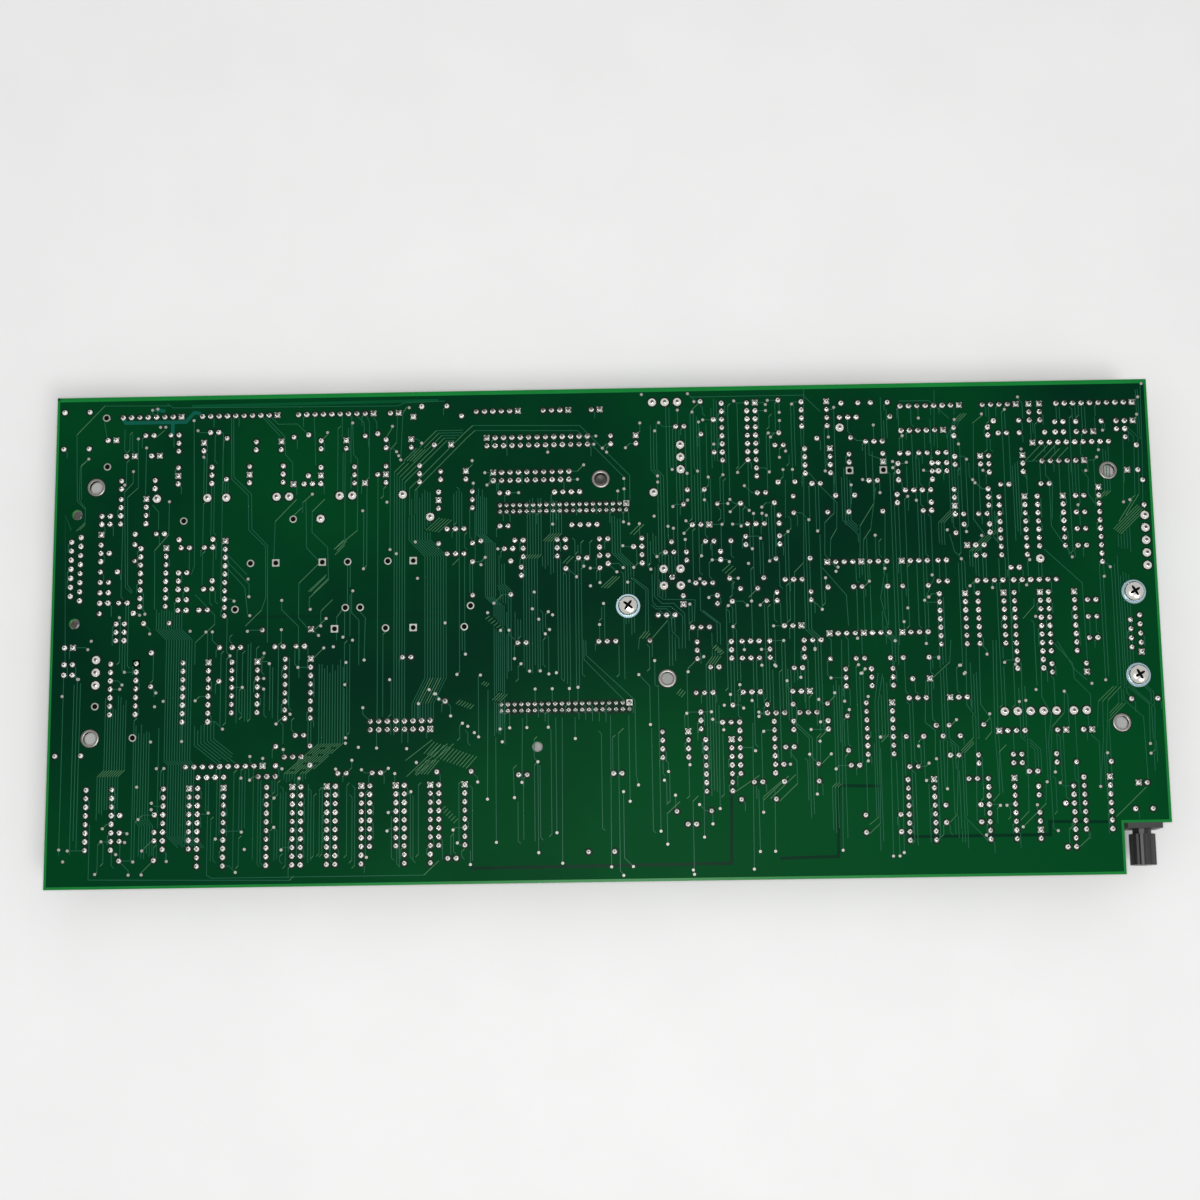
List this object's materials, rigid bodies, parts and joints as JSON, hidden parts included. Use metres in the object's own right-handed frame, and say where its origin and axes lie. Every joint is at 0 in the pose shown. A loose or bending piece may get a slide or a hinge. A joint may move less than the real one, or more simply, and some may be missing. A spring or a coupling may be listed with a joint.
{
  "type": "computer circuit board",
  "caption": "Long green circuit board with leaded parts, lying solder side up on its connectors and tall parts.",
  "frame": {"origin": "on the surface that the board stands on, under the middle of the board's outline", "axes": "+X along the board's long side, +Y towards the edge with the row of headers, +Z out of the solder side"},
  "size_m": [0.3302, 0.1486, 0.0167],
  "materials": {
    "green_laminate": "green solder mask, satin gloss",
    "solder": "bright tin and lead solder",
    "chip_plastic": "black moulding compound",
    "tinned_leads": "tinned leadframe",
    "gilt_pins": "gold flash",
    "network_coating": "dipped coating",
    "resistor_coating": "beige lacquer with colour bands",
    "ceramic_coating": "ochre dipped coating",
    "capacitor_sleeve": "dark blue sleeve",
    "header_plastic": "natural nylon",
    "terminal_plastic": "green moulded plastic",
    "gilt_brass": "gold plate",
    "black_plastic": "black moulded plastic",
    "plated_steel": "nickel plate",
    "tinned_shell": "tin plate",
    "zinc_plate": "blue zinc plate"
  },
  "bodies": {
    "root": {"ceramic_capacitors": "ceramic_coating", "chip_14pin_1": "chip_plastic", "chip_14pin_2": "chip_plastic", "chip_14pin_3": "chip_plastic", "chip_14pin_4": "chip_plastic", "chip_14pin_5": "chip_plastic", "chip_14pin_6": "chip_plastic", "chip_14pin_7": "chip_plastic", "chip_14pin_8": "chip_plastic", "chip_16pin_1": "chip_plastic", "chip_16pin_10": "chip_plastic", "chip_16pin_11": "chip_plastic", "chip_16pin_12": "chip_plastic", "chip_16pin_2": "chip_plastic", "chip_16pin_3": "chip_plastic", "chip_16pin_4": "chip_plastic", "chip_16pin_5": "chip_plastic", "chip_16pin_6": "chip_plastic", "chip_16pin_7": "chip_plastic", "chip_16pin_8": "chip_plastic", "chip_16pin_9": "chip_plastic", "chip_20pin_1": "chip_plastic", "chip_20pin_2": "chip_plastic", "chip_20pin_3": "chip_plastic", "chip_20pin_4": "chip_plastic", "chip_20pin_5": "chip_plastic", "chip_20pin_6": "chip_plastic", "chip_6pin_1": "chip_plastic", "chip_8pin_1": "chip_plastic", "chip_8pin_2": "chip_plastic", "chip_8pin_3": "chip_plastic", "chip_8pin_4": "chip_plastic", "chip_legs": "tinned_leads", "circuit_board": "green_laminate", "coax_jack": "gilt_brass", "connector_15way_insulator": "black_plastic", "connector_15way_shell": "tinned_shell", "connector_9way_insulator": "black_plastic", "connector_9way_shell": "tinned_shell", "electrolytic_capacitors": "capacitor_sleeve", "fibre_lock_nut": "black_plastic", "fibre_receptacle": "black_plastic", "fixing_screws": "plated_steel", "header_pins": "gilt_pins", "heavy_solder_joints": "solder", "hexagon_spacers": "plated_steel", "memory_chips": "chip_plastic", "module_board": "green_laminate", "module_plugs": "black_plastic", "module_sockets": "black_plastic", "pin_headers": "header_plastic", "processor_chip": "chip_plastic", "resistor_networks": "network_coating", "resistors": "resistor_coating", "screw_washers": "zinc_plate", "solder_joints": "solder", "terminal_blocks": "terminal_plastic", "transistors": "chip_plastic"}
  },
  "joints": []
}
